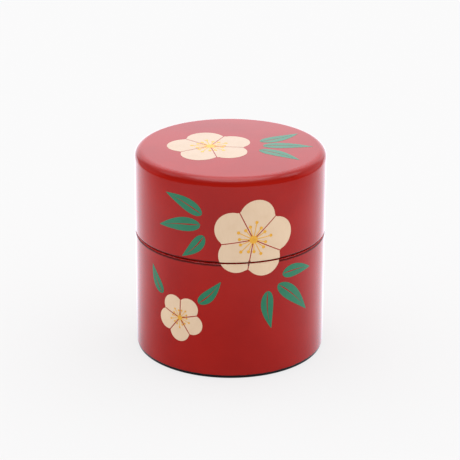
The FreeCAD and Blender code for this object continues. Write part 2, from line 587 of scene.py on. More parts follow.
@dataclass(frozen=True)
class TurnedBrass(Finish):
    """Brass screw, turned on an automatic lathe and left bare.

    It gives the eye a warm yellow metal with rings from the tool, browned a
    little by age.

    Attributes:
        name: the material's name.
        colour: sRGB hex of clean brass.
        tarnish: sRGB hex of browned brass.
    """

    name: str
    colour: str
    tarnish: str

    # Share of brown, which is also duller
    TARNISH = Patches(1.5 * MM, (0.45, 0.75), (0.0, 0.8), detail=4.0, crumble=0.6)
    CLEAN_ROUGHNESS, BROWN_ROUGHNESS = 0.2, 0.42
    # Rings of the tool, really 0.12 mm apart, drawn coarser to show, and their depth
    RING_SIZE = 0.754 * MM
    RING_DEPTH = 3.0 * MICRON
    RING_STRENGTH = 0.7
    RING_WANDER = 0.3

    def _shader(self, tree: NodeTree, place: Socket) -> Socket:
        """Builds the turned metal.

        Args:
            tree: the material's tree.
            place: the object's coordinates, in metres.

        Returns:
            The shader's socket.
        """
        browned = self.TARNISH.pattern(tree, place)
        span = (*self.TARNISH.values, self.CLEAN_ROUGHNESS, self.BROWN_ROUGHNESS)
        rings = add(tree, "ShaderNodeTexWave", {
            "Vector": place, "Scale": per_metre(self.RING_SIZE) / WAVE_COUNT, "Distortion": self.RING_WANDER,
        }, wave_type="RINGS", rings_direction="Z")["Fac"]
        return self._relief(tree, rings, self.RING_DEPTH, {
            "Base Color": self._layers(tree, self.colour, (browned, self.tarnish)),
            "Metallic": 1.0, "Roughness": add(tree, "ShaderNodeMapRange", (browned, *span))[0],
        }, self.RING_STRENGTH)


@dataclass(frozen=True)
class SweepPaper(Finish):
    """White background paper, the floor of the studio.

    It gives the eye an even pale ground with a soft shadow, and only the
    faintest fibre.

    Attributes:
        name: the material's name.
        colour: sRGB hex of the paper.
        fibre: sRGB hex of its slightly darker fibres.
        white: sRGB hex of its brightness under the studio's light.
        mirrored: sRGB hex of the same in gloss.
        glow_share: share of that brightness, as the camera and gloss see it,
            that the paper gives off itself as a painted glow, which softens the shadow.
        shade: middle of the caddy's shade as gloss sees it, to the front and left.
        shade_gain: strength of that share in gloss in the middle of the shade.
        far_gain: the same, outside the shade.
        far: reach of the shade.
        straight: depth behind the caddy where the paper starts to widen.
        spread: how fast it widens from there, width over depth.
        side_fade: distances to its side between which the paper leaves the gloss.
        front_fade: the same along its depth, which is negative before the caddy.
        faded: what is left of it there.
    """

    name: str
    colour: str
    fibre: str
    white: str
    mirrored: str
    glow_share: float = 0.78
    shade: tuple[float, float, float] = (-20 * MM, -60 * MM, 0.0)
    shade_gain: float = 0.75
    far_gain: float = 2.0
    far: float = 160 * MM
    straight: float = 200 * MM
    spread: float = 0.84
    side_fade: Point = (190 * MM, 340 * MM)
    front_fade: Point = (-370 * MM, -530 * MM)
    faded: float = 0.05

    FIBRES = Patches(1.2 * MM, (0.4, 0.8), detail=4.0, crumble=0.7)
    MATT = {"Roughness": 1.0, "Specular IOR Level": 0.0}

    def _shader(self, tree: NodeTree, place: Socket) -> Socket:
        """Builds the paper.

        Args:
            tree: the material's tree.
            place: the object's coordinates, in metres.

        Returns:
            The shader's socket.
        """
        fibres = self.FIBRES.pattern(tree, place)
        colour = self._layers(tree, self.colour, (fibres, self.fibre))
        sheet = add(tree, "ShaderNodeBsdfPrincipled", {"Base Color": colour, **self.MATT})[0]
        path = add(tree, "ShaderNodeLightPath")
        in_gloss = path["Is Glossy Ray"]
        gain = self._gloss_gain(tree, place)
        # The paper's own painted glow, which lightens its shadow for the camera and in gloss
        paper_glow = add(tree, "ShaderNodeEmission", {
            "Color": self._layers(tree, self.white, (in_gloss, self.mirrored)),
            "Strength": add(tree, "ShaderNodeMapRange", (in_gloss, 0.0, 1.0, 1.0, gain))[0],
        })[0]
        seen = add(tree, "ShaderNodeMath", (path["Is Camera Ray"], in_gloss), operation="MAXIMUM")[0]
        share = add(tree, "ShaderNodeMath", (seen, self.glow_share), operation="MULTIPLY")[0]
        return add(tree, "ShaderNodeMixShader", (share, sheet, paper_glow))[0]

    def _gloss_gain(self, tree: NodeTree, place: Socket) -> Socket:
        """How bright gloss sees the paper: less in the caddy's shade, and fading at its edges.

        Args:
            tree: the material's tree.
            place: the paper's coordinates, in metres.

        Returns:
            The socket with the gain.
        """
        distance = add(tree, "ShaderNodeVectorMath", (place, self.shade), operation="DISTANCE")["Value"]
        across, along, _ = add(tree, "ShaderNodeSeparateXYZ", (place,))
        side = add(tree, "ShaderNodeMath", (across,), operation="ABSOLUTE")[0]
        depth = add(tree, "ShaderNodeMath", (along, self.straight), operation="SUBTRACT")[0]
        behind = add(tree, "ShaderNodeMath", (depth, 0.0), operation="MAXIMUM")[0]
        widening = add(tree, "ShaderNodeMath", (behind, self.spread), operation="MULTIPLY")[0]
        aside = add(tree, "ShaderNodeMath", (side, widening), operation="SUBTRACT")[0]
        gain: Socket | float = 1.0
        for reach, span in (
            (distance, (0.0, self.far, self.shade_gain, self.far_gain)),
            (aside, (*self.side_fade, 1.0, self.faded)),
            (along, (*self.front_fade, 1.0, self.faded)),
        ):
            step = add(tree, "ShaderNodeMapRange", (reach, *span), interpolation_type="SMOOTHSTEP")[0]
            gain = add(tree, "ShaderNodeMath", (gain, step), operation="MULTIPLY")[0]
        return gain


# Turned shapes

@dataclass(frozen=True)
class Corner:
    """A corner of a turned profile.

    Attributes:
        radius: distance from the Z axis.
        height: height over the table.
        rounding: radius of the arc that rounds the corner off, 0 for none.
    """

    radius: float
    height: float
    rounding: float = 0.0


def arc(centre: Vector, start: Vector, turn: float, least: int) -> list[Vector]:
    """Points of an arc.

    Args:
        centre: its centre.
        start: its first point.
        turn: how far it turns, counted clockwise.
        least: the smallest number of steps.

    Returns:
        The points, both ends included.
    """
    steps = max(least, math.ceil(abs(turn) / ARC_STEP))
    points = []
    for step in range(steps + 1):
        spoke = start - centre
        spoke.rotate(Matrix.Rotation(-turn * step / steps, 2))
        points.append(centre + spoke)
    return points


def rounded_corner(before: Vector, corner: Vector, after: Vector, rounding: float) -> list[Vector]:
    """The points that round one corner off, with a holding ring on each side.

    Args:
        before: the corner before it.
        corner: the corner itself.
        after: the corner after it.
        rounding: the radius of the arc.

    Returns:
        Points along the profile, from the run before to the run after.
    """
    back, ahead = before - corner, after - corner
    half_angle = back.angle(ahead) / 2
    reach = rounding / math.tan(half_angle)
    first = corner + back.normalized() * reach
    last = corner + ahead.normalized() * reach
    middle = (back.normalized() + ahead.normalized()).normalized()
    centre = corner + middle * (rounding / math.sin(half_angle))
    turn = (first - centre).angle_signed(last - centre)
    hold_before = min(HOLDING_RING, (back.length - reach) / HOLDING_PARTS)
    hold_after = min(HOLDING_RING, (ahead.length - reach) / HOLDING_PARTS)
    start = first + back.normalized() * hold_before
    end = last + ahead.normalized() * hold_after
    return [start, *arc(centre, first, turn, least=2), end]


def rounded_profile(corners: Sequence[Corner], closed: bool) -> list[Vector]:
    """Joins corners with straight runs and rounds them off.

    Args:
        corners: the corners in order.
        closed: whether the last corner runs back to the first.

    Returns:
        The (radius, height) points of the profile.
    """
    places = [Vector((corner.radius, corner.height)) for corner in corners]
    points: list[Vector] = []
    for index, corner in enumerate(corners):
        at_end = not closed and index in (0, len(corners) - 1)
        if corner.rounding == 0.0 or at_end:
            points.append(places[index])
            continue
        after = places[(index + 1) % len(places)]
        points += rounded_corner(places[index - 1], places[index], after, corner.rounding)
    return points


def arc_through(start: Point, middle: Point, end: Point) -> list[Vector]:
    """Points of the arc through three (radius, height) places.

    Args:
        start: where it starts.
        middle: a place on the way.
        end: where it ends.

    Returns:
        The points, both ends included.
    """
    a, b, c = Vector(start), Vector(middle), Vector(end)
    chord_ab, chord_ac = b - a, c - a
    cross = 2 * (chord_ab.x * chord_ac.y - chord_ab.y * chord_ac.x)
    square_ab, square_ac = chord_ab.length_squared, chord_ac.length_squared
    centre = a + Vector((
        (chord_ac.y * square_ab - chord_ab.y * square_ac) / cross,
        (chord_ab.x * square_ac - chord_ac.x * square_ab) / cross,
    ))
    turn = (a - centre).angle_signed(b - centre) + (b - centre).angle_signed(c - centre)
    return arc(centre, a, turn, least=4)


def sphere_radius(radius: float, rise: float) -> float:
    """Radius of the sphere whose cap has a given radius and rise."""
    return (radius ** 2 + rise ** 2) / (2 * rise)


def crown(edge: float, radius: float, rise: float, top: float, rings: int = 14) -> list[Vector]:
    """Points of a low crown, from the axis out.

    Args:
        edge: radius where the points end.
        radius: radius at which the crown has fallen by its rise.
        rise: how far the middle stands above that.
        top: height of the middle.
        rings: number of points.

    Returns:
        The points, the one on the axis first.
    """
    sphere = sphere_radius(radius, rise)
    radii = [edge * ring / (rings - 1) for ring in range(rings)]
    return [Vector((r, top - sphere + math.sqrt(sphere ** 2 - r ** 2))) for r in radii]


@dataclass(frozen=True)
class Coats:
    """The finishes of a turned piece: one outside and one for its hollow.

    Attributes:
        outer: finish of the outside.
        inner: finish of every face nearer the axis than inner_radius and below inner_height.
        inner_radius: radius where the inner finish starts.
        inner_height: height below which it is used.
    """

    outer: Finish
    inner: Finish
    inner_radius: float = 0.0
    inner_height: float = 0.0


class Lathe:
    """Turns profiles round the Z axis with a Geometry Nodes tree."""

    PATH_RADIUS = 40 * MM        # circle that the profile is carried round
    MERGE_DISTANCE = 1 * MICRON  # closes the poles

    def __init__(self) -> None:
        """Builds the tree: the profile is swept along a circle, its poles are closed and it is dressed."""
        self.tree = Tree("turned_about_z", {
            "Segments": "Int", "Path Radius": "Float", "Merge Distance": "Float",
            "Inner Radius": "Float", "Inner Height": "Float",
            "Outer Finish": "Material", "Inner Finish": "Material",
        })
        group, socket = self.tree.group, self.tree.inputs
        profile = add(group, "GeometryNodeMeshToCurve", {"Mesh": socket["Geometry"]})[0]
        path = add(group, "GeometryNodeCurvePrimitiveCircle", {
            "Resolution": socket["Segments"], "Radius": socket["Path Radius"],
        })[0]
        swept = add(group, "GeometryNodeCurveToMesh", {"Curve": path, "Profile Curve": profile})[0]
        closed = add(group, "GeometryNodeMergeByDistance", {
            "Geometry": swept, "Distance": socket["Merge Distance"],
        })[0]
        dressed = self.tree.dress(closed, socket["Outer Finish"])
        place = add(group, "ShaderNodeSeparateXYZ", (add(group, "GeometryNodeInputPosition")[0],))
        flat = add(group, "ShaderNodeCombineXYZ", (place[0], place[1]))[0]
        radius = add(group, "ShaderNodeVectorMath", (flat,), operation="LENGTH")["Value"]
        inside = [
            add(group, "ShaderNodeMath", (measure, socket[limit]), operation="LESS_THAN")[0]
            for measure, limit in ((radius, "Inner Radius"), (place[2], "Inner Height"))
        ]
        finished = add(group, "GeometryNodeSetMaterial", {
            "Geometry": dressed, "Material": socket["Inner Finish"],
            "Selection": add(group, "ShaderNodeMath", inside, operation="MULTIPLY")[0],
        })[0]
        add(group, "NodeGroupOutput", (finished,))

    def turn(self, name: str, profile: Sequence[Vector], coats: Coats, closed: bool = False) -> Piece:
        """Turns one profile into a closed piece.

        Args:
            name: the name of the piece.
            profile: its (radius, height) points, from axis to axis or round a ring.
            coats: its finishes.
            closed: whether the profile is a ring that doesn't touch the axis.

        Returns:
            The piece, shaded smooth apart from its sharp edges.
        """
        start = bpy.data.meshes.new(name + "_profile")
        runs = [(i, i + 1) for i in range(len(profile) - 1)]
        if closed:
            runs.append((len(profile) - 1, 0))
        start.from_pydata([(p.x - self.PATH_RADIUS, -p.y, 0.0) for p in profile], runs, [])
        piece = self.tree.run(name, start, {
            "Segments": TURN_SEGMENTS,
            "Path Radius": self.PATH_RADIUS,
            "Merge Distance": self.MERGE_DISTANCE,
            "Inner Radius": coats.inner_radius,
            "Inner Height": coats.inner_height,
            "Outer Finish": coats.outer.material(),
            "Inner Finish": coats.inner.material(),
        })
        face_outwards(piece.data)
        piece.data.shade_smooth()
        piece.data.set_sharp_from_angle(angle=SHARP_ANGLE)
        return piece


# Painted design

class Side(Enum):
    """Which side of the seam a piece of the design is painted on."""

    LID = 1
    BODY = -1


class Spot(NamedTuple):
    """Where a place of a flat design falls on a turned surface.

    Attributes:
        turn: angle round the axis, from the front.
        radius: distance from the axis.
        height: height over the table.
        slope: height angle of the surface's normal.
    """

    turn: float
    radius: float
    height: float
    slope: float


class Ground:
    """A turned surface that flat designs are laid on to."""

    def _spot(self, across: float, along: float, lift: float) -> Spot:
        """Lays a place of the design on the surface.

        Args:
            across: its first coordinate.
            along: its second coordinate.
            lift: height over the surface.

        Returns:
            The spot where it falls.
        """
        raise NotImplementedError

    def place(self, across: float, along: float, lift: float) -> Vector:
        """The point over a place of the design.

        Args:
            across: the place's first coordinate.
            along: its second coordinate.
            lift: height over the surface.

        Returns:
            The point.
        """
        spot = self._spot(across, along, lift)
        return Vector((spot.radius * math.sin(spot.turn), -spot.radius * math.cos(spot.turn), spot.height))

    def normal(self, across: float, along: float) -> Vector:
        """The surface's normal at a place of the design.

        Args:
            across: the place's first coordinate.
            along: its second coordinate.

        Returns:
            The unit normal.
        """
        spot = self._spot(across, along, 0.0)
        level = math.cos(spot.slope)
        return Vector((level * math.sin(spot.turn), -level * math.cos(spot.turn), math.sin(spot.slope)))

    def keep(self, outline: list[Point]) -> list[Point]:
        """The part of an outline that lies on this surface, which is all of it where there is no seam."""
        return outline

    def fine_rows(self) -> list[float]:
        """Extra rows of points where the surface bends tightly, if it does."""
        return []


@dataclass(frozen=True)
class WallGround(Ground):
    """The upright wall of one shell, and its rounded edge at the seam.

    A flat design has its zero at the front, with its length round the wall as
    its first coordinate and its height as its second.

    Attributes:
        radius: outside radius of the wall.
        bend: height where the rounding at the seam starts.
        rounding: radius of that rounding.
        wrap: how far round the rounding the paint reaches, as an angle.
        side: the side of the seam.
    """

    radius: float
    bend: float
    rounding: float
    wrap: float
    side: Side

    ROWS_IN_BEND = 7

    def _spot(self, across: float, along: float, lift: float) -> Spot:
        """Lays a place of the design on the wall.

        Args:
            across: its first coordinate.
            along: its second coordinate.
            lift: height over the surface.

        Returns:
            The spot where it falls.
        """
        tilt = max(0.0, self.side.value * (self.bend - along)) / self.rounding
        out = self.rounding + lift
        radius = self.radius - self.rounding + out * math.cos(tilt)
        height = self.bend - self.side.value * out * math.sin(tilt) if tilt > 0 else along
        return Spot(across / self.radius, radius, height, -self.side.value * tilt)

    def keep(self, outline: list[Point]) -> list[Point]:
        """Cuts an outline off where the paint ends in the seam."""
        return cut_off(outline, self.bend - self.side.value * self.rounding * self.wrap, self.side)

    def fine_rows(self) -> list[float]:
        """Rows of points round the bend."""
        step = self.rounding * self.wrap / self.ROWS_IN_BEND
        return [self.bend - self.side.value * step * row for row in range(self.ROWS_IN_BEND)]


@dataclass(frozen=True)
class CrownGround(Ground):
    """The crowned top of the lid and its rounded rim, seen from above.

    Attributes:
        radius: outside radius of the lid.
        rim: radius of the rim's rounding.
        top: height of the middle.
        rise: how far the middle stands above the rim.
    """

    radius: float
    rim: float
    top: float
    rise: float

    def _spot(self, across: float, along: float, lift: float) -> Spot:
        """Lays a place of the design on the crown or the rim.

        Args:
            across: its first coordinate.
            along: its second coordinate.
            lift: height over the surface.

        Returns:
            The spot where it falls.
        """
        reach, turn = math.hypot(across, along), math.atan2(across, -along)
        sphere, edge = sphere_radius(self.radius, self.rise), self.radius - self.rim
        surface = self.top - min(reach, edge) ** 2 / (2 * sphere)
        if reach <= edge:
            tilt = reach / sphere
            return Spot(turn, reach + lift * tilt, surface + lift, math.pi / 2 - tilt)
        tilt = min((reach - edge) / self.rim + edge / sphere, math.pi / 2)
        out = self.rim + lift
        height = surface - self.rim + out * math.cos(tilt)
        return Spot(turn, edge + out * math.sin(tilt), height, math.pi / 2 - tilt)


def cut_off(outline: list[Point], limit: float, side: Side) -> list[Point]:
    """Cuts an outline along a level line.

    Args:
        outline: the outline's corners.
        limit: the level.
        side: LID keeps what lies above it and BODY what lies below.

    Returns:
        The outline that is left, which may be empty.
    """
    kept: list[Point] = []
    for index, (across, along) in enumerate(outline):
        last_across, last_along = outline[index - 1]
        inside = side.value * (along - limit) >= 0
        was_inside = side.value * (last_along - limit) >= 0
        if inside != was_inside:
            share = (limit - last_along) / (along - last_along)
            kept.append((last_across + share * (across - last_across), limit))
        if inside:
            kept.append((across, along))
    return kept


def is_inside(point: Point, outline: Sequence[Point]) -> bool:
    """Tells whether a point lies inside an outline.

    Args:
        point: the point.
        outline: the outline's corners.

    Returns:
        True where it lies inside.
    """
    inside = False
    for index, (x, y) in enumerate(outline):
        last_x, last_y = outline[index - 1]
        if (y > point[1]) != (last_y > point[1]):
            crossing = x + (point[1] - y) * (last_x - x) / (last_y - y)
            inside ^= point[0] < crossing
    return inside


class PaintFilm:
    """Closed thin films of paint that follow a surface."""

    GRID = 1.0 * MM              # spacing of the points inside an outline, and along it
    SUNK = 0.02 * MM             # how deep a film's underside lies in the ground
    FILL_INSIDE = 1              # the triangulation's choice that leaves the outside open
    TOUCHING = 1e-7              # points nearer than this are one to it

    def __init__(self, ground: Ground, thickness: float) -> None:
        """Starts an empty set of films.

        Args:
            ground: the surface they lie on.
            thickness: how far they stand off it.
        """
        self.ground = ground
        self.thickness = thickness
        self.corners: list[Vector] = []
        self.faces: list[list[int]] = []
        self.normals: list[Vector] = []
        self.smooth: list[bool] = []

    def _split(self, outline: list[Point]) -> list[Point]:
        """Splits long edges, so that they bend with the ground.

        Args:
            outline: the outline's corners.

        Returns:
            The corners with the new points between them.
        """
        fine: list[Point] = []
        for index, (x, y) in enumerate(outline):
            last_x, last_y = outline[index - 1]
            parts = max(1, math.ceil(math.hypot(x - last_x, y - last_y) / self.GRID))
            fine += [(last_x + (x - last_x) * k / parts, last_y + (y - last_y) * k / parts)
                     for k in range(1, parts + 1)]
        return fine

    def _filling(self, outline: list[Point]) -> list[Point]:
        """Makes the grid points inside an outline, with the ground's extra rows.

        Args:
            outline: the outline's corners.

        Returns:
            The points, row by row.
        """
        columns, rows = (
            [self.GRID * k for k in range(math.ceil(min(span) / self.GRID), math.ceil(max(span) / self.GRID))]
            for span in zip(*outline)
        )
        heights = [along for _, along in outline]
        rows += [row for row in self.ground.fine_rows() if min(heights) < row < max(heights)]
        return [(c, r) for r in rows for c in columns if is_inside((c, r), outline)]

    def paint(self, outline: list[Point]) -> None:
        """Adds the film of one closed outline, cut to its ground.

        Args:
            outline: its corners, counterclockwise as seen from outside.
        """
        kept = self._split(self.ground.keep(outline))
        if not kept:
            return
        flat = [Vector(p) for p in kept + self._filling(kept)]
        edge_loop = [list(range(len(kept)))]
        places, _, triangles, *_ = delaunay_2d_cdt(flat, [], edge_loop, self.FILL_INSIDE, self.TOUCHING)
        base, count = len(self.corners), len(places)
        tops = [self.ground.normal(p.x, p.y) for p in places]
        for lift in (self.thickness, -self.SUNK):
            self.corners += [self.ground.place(p.x, p.y, lift) for p in places]
        edges: dict[tuple[int, int], bool] = {}
        for a, b, c in triangles:
            self._face([base + a, base + b, base + c], [tops[a], tops[b], tops[c]], True)
            under = [base + count + a, base + count + c, base + count + b]
            self._face(under, [-tops[a], -tops[c], -tops[b]], True)
            edges |= dict.fromkeys([(a, b), (b, c), (c, a)], True)
        for a, b in edges:
            if (b, a) not in edges:
                loop = [base + b, base + a, base + count + a, base + count + b]
                first, second, third = (self.corners[i] for i in loop[:3])
                across = (second - first).cross(third - first).normalized()
                self._face(loop, [across] * len(loop), False)

    def _face(self, loop: list[int], normals: list[Vector], smooth: bool) -> None:
        """Adds a face.

        Args:
            loop: its corners.
            normals: the normal at each of them.
            smooth: whether it is shaded smooth.
        """
        self.faces.append(loop)
        self.normals += normals
        self.smooth.append(smooth)

    def piece(self, name: str, finish: Finish) -> Piece:
        """Makes the films one piece.

        Args:
            name: its name.
            finish: its paint.

        Returns:
            The piece, whose normals are those of the ground.
        """
        mesh = bpy.data.meshes.new(name)
        mesh.from_pydata(self.corners, [], self.faces)
        mesh.polygons.foreach_set("use_smooth", self.smooth)
        mesh.materials.append(finish.material())
        mesh.normals_split_custom_set(self.normals)
        return link_to_scene(name, mesh)


def turned(outline: Sequence[Point], degrees: float, origin: Point) -> list[Point]:
    """Turns an outline and moves it to its place in a design.

    Args:
        outline: the outline's corners.
        degrees: how far it is turned, counterclockwise.
        origin: where its zero goes.

    Returns:
        The new corners.
    """
    cos, sin = math.cos(math.radians(degrees)), math.sin(math.radians(degrees))
    return [(origin[0] + x * cos - y * sin, origin[1] + x * sin + y * cos) for x, y in outline]


@dataclass(frozen=True)
class Blossom:
    """A plum blossom with five round petals.

    Attributes:
        centre: its place on the flat design.
        radius: middle to petal tip.
        turn: how far it is turned, in degrees.
    """

    centre: Point
    radius: float
    turn: float

    PETALS = 5
    FULLNESS = 0.77              # petal radius over the distance of its middle
    SLIT = 0.42 * MM             # bare ground left between two petals
    EYE_SHARE = 0.06             # inner end of a petal over the blossom's radius
    ARC_POINTS = 40

    def petals(self) -> list[list[Point]]:
        """Draws the petals.

        Returns:
            The outline of each petal, counterclockwise.
        """
        half = math.pi / self.PETALS
        slit_start = self.SLIT / 2 / math.sin(half)
        inner = slit_start + self.radius * self.EYE_SHARE
        distance = self.radius / (1 + self.FULLNESS)

        def at_slit(x: float, side: int) -> Point:
            """The place on the edge of a slit, beside a place on the petal's axis."""
            return (x, side * math.tan(half) * (x - slit_start))

        tip: list[Point] = []
        for step in range(self.ARC_POINTS + 1):
            angle = half * (2 * step / self.ARC_POINTS - 1)
            aside = distance * math.sin(angle)
            reach = distance * math.cos(angle) + math.sqrt((distance * self.FULLNESS) ** 2 - aside ** 2)
            x, y = reach * math.cos(angle), reach * math.sin(angle)
            if abs(y) <= at_slit(x, 1)[1] + MICRON:
                tip.append((x, y))
        low, high = tip[0][0], tip[-1][0]
        petal = [at_slit(inner, -1), at_slit(low, -1), *tip[1:-1], at_slit(high, 1), at_slit(inner, 1)]
        return [turned(petal, self.turn + 360 / self.PETALS * k, self.centre) for k in range(self.PETALS)]


@dataclass(frozen=True)
class Leaf:
    """A slender bamboo leaf with a slit along its midrib.

    Attributes:
        root: where it leaves the twig.
        direction: where it points, in degrees.
        length: root to tip.
        width: at its widest.
        sweep: how far its middle bows to the left of the straight line.
    """

    root: Point
    direction: float
    length: float
    width: float
    sweep: float

    STEPS = 36
    BELLY = 0.62                 # below 1 puts the widest place nearer the root
    FULLNESS = 0.9               # below 1 makes its ends blunter
    RIB_WIDTH = 0.75 * MM
    RIB_ROOT = 0.05 * MM         # half of what is left open at the root
    RIB_END = 0.86               # share of the length where the slit closes
    RIB_OPENING = 4              # the slit is full at one part in so many of its length
    RIB_LEAST = 0.13             # and never narrower than this share of its width

    def outline(self) -> list[Point]:
        """Draws the leaf.

        Returns:
            Its outline, counterclockwise, with the slit open at the root.
        """
        shares = [step / self.STEPS for step in range(self.STEPS + 1)]
        slit = [share for share in shares if share <= self.RIB_END][1:]
        flat = [
            *(self._beside(share, -self._half_width(share)) for share in shares[1:]),
            *(self._beside(share, self._half_width(share)) for share in shares[-2:0:-1]),
            self._beside(0.0, self.RIB_ROOT),
            *(self._beside(share, self._half_rib(share)) for share in slit),
            *(self._beside(share, -self._half_rib(share)) for share in slit[-2::-1]),
            self._beside(0.0, -self.RIB_ROOT),
        ]
        return turned(flat, self.direction, self.root)

    def _half_width(self, share: float) -> float:
        """Half the leaf's width at a share of its length."""
        belly = math.sin(math.pi * share ** self.BELLY) if 0 < share < 1 else 0.0
        return self.width / 2 * belly ** self.FULLNESS

    def _half_rib(self, share: float) -> float:
        """Half the slit's width at a share of the leaf's length."""
        along = share / self.RIB_END
        return self.RIB_WIDTH / 2 * max(self.RIB_LEAST, min(1.0, self.RIB_OPENING * along) * (1 - along))

    def _beside(self, share: float, aside: float) -> Point:
        """The place at a share of the length and a distance to the left of the bowed midrib."""
        return (share * self.length, aside + self.sweep * math.sin(math.pi * share))


class StamenTree:
    """Stamens of a blossom, made flat by a Geometry Nodes tree and then laid on a surface."""

    PER_PETAL = 3                # stamens for each petal, the first of them long
    SHORT_SHARE = 0.76           # length of the others over that of the long one
    UNEVEN = 0.05                # how far the lengths stray, as a share
    RADIUS_SHARES = {            # sizes over the blossom's radius
        "Reach": 0.42, "Filament Width": 0.02, "Anther Radius": 0.04, "Eye Radius": 0.1,
    }
    THICKNESS = 0.06 * MM
    FILAMENT_POINTS = 9
    ANTHER_FACETS, ANTHER_HEIGHT = 20, 1.3   # heights are over the thickness
    EYE_FACETS, EYE_HEIGHT = 32, 1.6

    def __init__(self) -> None:
        """Builds the tree: filaments fan out from the eye, and each ends in a dot."""
        self.tree = Tree("stamens", {
            "Count": "Int", "Long Every": "Int", "Seed": "Int",
            "Reach": "Float", "Short Share": "Float", "Uneven": "Float", "Filament Width": "Float",
            "Anther Radius": "Float", "Eye Radius": "Float", "Thickness": "Float", "Finish": "Material",
        })
        group, socket = self.tree.group, self.tree.inputs
        index = add(group, "GeometryNodeInputIndex")[0]
        angle = add(group, "ShaderNodeMapRange", (index, 0.0, socket["Count"], 0.0, 2 * math.pi))[0]
        reach = self._reach(index)
        end = add(group, "ShaderNodeVectorRotate", {
            "Vector": add(group, "ShaderNodeCombineXYZ", (reach,))[0], "Angle": angle,
        }, rotation_type="Z_AXIS")[0]
        ends = add(group, "GeometryNodePoints", {"Count": socket["Count"], "Position": end})[0]
        bar_size = add(group, "ShaderNodeCombineXYZ", (1.0, socket["Filament Width"], socket["Thickness"]))[0]
        bar = add(group, "GeometryNodeMeshCube", {"Size": bar_size, "Vertices X": self.FILAMENT_POINTS})[0]
        half_back = (-0.5, 0.0, 0.0)    # a bar of length 1 then ends at its own zero
        inward = add(group, "GeometryNodeTransform", {"Geometry": bar, "Translation": half_back})[0]
        turn = add(group, "ShaderNodeCombineXYZ", {2: angle})[0]
        filaments = add(group, "GeometryNodeInstanceOnPoints", {
            "Points": ends, "Instance": inward,
            "Rotation": add(group, "FunctionNodeEulerToRotation", (turn,))[0],
            "Scale": add(group, "ShaderNodeCombineXYZ", (reach, 1.0, 1.0))[0],
        })[0]
        dot, eye = (
            add(group, "GeometryNodeMeshCylinder", {
                "Vertices": facets, "Radius": socket[radius],
                "Depth": add(group, "ShaderNodeMath", (socket["Thickness"], height), operation="MULTIPLY")[0],
            })[0]
            for facets, radius, height in (
                (self.ANTHER_FACETS, "Anther Radius", self.ANTHER_HEIGHT),
                (self.EYE_FACETS, "Eye Radius", self.EYE_HEIGHT),
            )
        )
        anthers = add(group, "GeometryNodeInstanceOnPoints", {"Points": ends, "Instance": dot})[0]
        joined = add(group, "GeometryNodeJoinGeometry", {"Geometry": [filaments, anthers, eye]})[0]
        add(group, "NodeGroupOutput", (self.tree.dress(joined, socket["Finish"]),))

    def _reach(self, index: Socket) -> Socket:
        """How far each stamen reaches, long or short and a little uneven.

        Args:
            index: the stamen's index.

        Returns:
            The socket with its reach.
        """
        group, socket = self.tree.group, self.tree.inputs
        after_long = add(group, "ShaderNodeMath", (index, socket["Long Every"]), operation="MODULO")[0]
        even = add(group, "ShaderNodeMapRange", (after_long, 0.0, 1.0, 1.0, socket["Short Share"]))[0]
        chance = add(group, "FunctionNodeRandomValue", {
            "Min": -1.0, "Max": 1.0, "ID": index, "Seed": socket["Seed"],
        }, data_type="FLOAT")["Value"]
        share = add(group, "ShaderNodeMath", (chance, socket["Uneven"], even), operation="MULTIPLY_ADD")[0]
        return add(group, "ShaderNodeMath", (share, socket["Reach"]), operation="MULTIPLY")[0]

    def make(self, name: str, blossom: Blossom, ground: Ground, lift: float,
             finish: Finish, seed: int) -> Piece:
        """Makes the stamens of one blossom and lays them on its ground.

        Args:
            name: the name of the piece.
            blossom: the blossom that they belong to.
            ground: the surface under it.
            lift: height of their middle plane over that surface.
            finish: their finish.
            seed: the seed of their uneven lengths.

        Returns:
            The piece.
        """
        piece = self.tree.run(name, bpy.data.meshes.new(name + "_start"), {
            "Count": self.PER_PETAL * Blossom.PETALS,
            "Long Every": self.PER_PETAL,
            "Seed": seed,
            "Short Share": self.SHORT_SHARE,
            "Uneven": self.UNEVEN,
            "Thickness": self.THICKNESS,
            "Finish": finish.material(),
            **{size: share * blossom.radius for size, share in self.RADIUS_SHARES.items()},
        })
        turn = Matrix.Rotation(math.radians(blossom.turn), 3, "Z")
        for vertex in piece.data.vertices:
            flat = turn @ vertex.co
            vertex.co = ground.place(blossom.centre[0] + flat.x, blossom.centre[1] + flat.y, lift + flat.z)
        face_outwards(piece.data)
        return piece


# The caddy

@dataclass(frozen=True)
class Fit:
    """Sizes of the caddy that its pieces share, read from the frame.

    Attributes:
        radius: outside radius of both shells.
        shoulder: height of the body's shoulder.
        lip: height of the lid's lip.
        top: height of the lid's crown.
        neck_radius: outside radius of the neck.
        neck_top: height of the neck's mouth.
        seam_round: rounding on both sides of the seam.
    """

    radius: float
    shoulder: float
    lip: float
    top: float
    neck_radius: float
    neck_top: float
    seam_round: float = 0.9 * MM

    @classmethod
    def of_frame(cls) -> "Fit":
        """Reads the sizes from the CAD nodes' boxes.

        Returns:
            The shared sizes.
        """
        wall, lid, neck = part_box("body_wall"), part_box("lid_shell"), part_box("neck_sleeve")
        return cls(
            radius=wall[1].x, shoulder=wall[1].z, lip=lid[0].z, top=lid[1].z,
            neck_radius=neck[1].x, neck_top=neck[1].z,
        )


